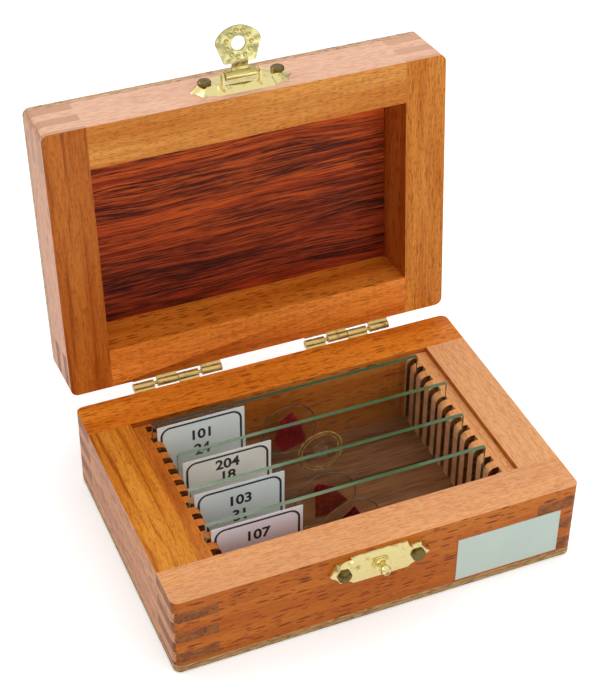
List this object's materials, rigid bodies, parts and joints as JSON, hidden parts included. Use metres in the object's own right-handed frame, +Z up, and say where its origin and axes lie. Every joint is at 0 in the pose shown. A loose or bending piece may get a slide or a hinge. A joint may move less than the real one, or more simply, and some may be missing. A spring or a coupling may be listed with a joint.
{
  "type": "microscope slide box",
  "caption": "Small finger-jointed wooden box with a hinged lid and a brass latch, slotted racks inside and glass microscope slides standing in the slots.",
  "frame": {"origin": "centre of the base's underside", "axes": "+Z up, +Y from the latch towards the hinges, +X to the right as the latch faces the viewer"},
  "size_m": [0.109, 0.1091, 0.1192],
  "materials": {
    "beech": "gloss varnish",
    "rack_wood": "satin",
    "plywood": "gloss varnish",
    "brass": "polished",
    "nail_brass": "dull",
    "slide_glass": "clear",
    "cover_glass": "clear",
    "stained_tissue": "matte",
    "label_paper": "matte"
  },
  "bodies": {
    "base": {"base_front_wall": "beech", "base_back_wall": "beech", "base_left_wall": "beech", "base_right_wall": "beech", "base_bottom_panel": "plywood", "left_slide_rack": "rack_wood", "right_slide_rack": "rack_wood", "left_hinge_base_leaf": "brass", "right_hinge_base_leaf": "brass", "left_hinge_pin": "brass", "right_hinge_pin": "brass", "hinge_base_nails": "nail_brass", "latch_base_plate": "brass", "latch_base_nails": "nail_brass", "latch_stud": "brass", "front_label": "label_paper"},
    "lid": {"lid_front_wall": "beech", "lid_back_wall": "beech", "lid_left_wall": "beech", "lid_right_wall": "beech", "lid_top_panel": "plywood", "left_hinge_lid_leaf": "brass", "right_hinge_lid_leaf": "brass", "hinge_lid_nails": "nail_brass", "latch_lid_plate": "brass", "latch_lid_nails": "nail_brass", "latch_tongue_pin": "brass"},
    "tongue": {"latch_tongue": "brass"},
    "slide_1": {"slide_glass_1": "slide_glass", "slide_label_1": "label_paper", "specimen_1": "stained_tissue", "cover_glass_1": "cover_glass"},
    "slide_2": {"slide_glass_2": "slide_glass", "slide_label_2": "label_paper", "specimen_2": "stained_tissue", "cover_glass_2": "cover_glass"},
    "slide_3": {"slide_glass_3": "slide_glass", "slide_label_3": "label_paper", "specimen_3": "stained_tissue", "cover_glass_3": "cover_glass"},
    "slide_4": {"slide_glass_4": "slide_glass", "slide_label_4": "label_paper", "specimen_4": "stained_tissue", "cover_glass_4": "cover_glass"}
  },
  "joints": [
    {"name": "lid_hinge", "type": "hinge", "parent": "base", "child": "lid", "pos_m": [0, 0.04045, 0.0242], "axis": [-1, 0, 0], "range_deg": [-95.3, 0]},
    {"name": "latch_hinge", "type": "hinge", "parent": "lid", "child": "tongue", "pos_m": [0, 0.05153, 0.10678], "axis": [-1, 0, 0], "range_deg": [-98, 70]},
    {"name": "slide_1_lift", "type": "slide", "parent": "base", "child": "slide_1", "axis": [0, 0, 1], "range_m": [0, 0.03]},
    {"name": "slide_2_lift", "type": "slide", "parent": "base", "child": "slide_2", "axis": [0, 0, 1], "range_m": [0, 0.03]},
    {"name": "slide_3_lift", "type": "slide", "parent": "base", "child": "slide_3", "axis": [0, 0, 1], "range_m": [0, 0.03]},
    {"name": "slide_4_lift", "type": "slide", "parent": "base", "child": "slide_4", "axis": [0, 0, 1], "range_m": [0, 0.03]}
  ]
}
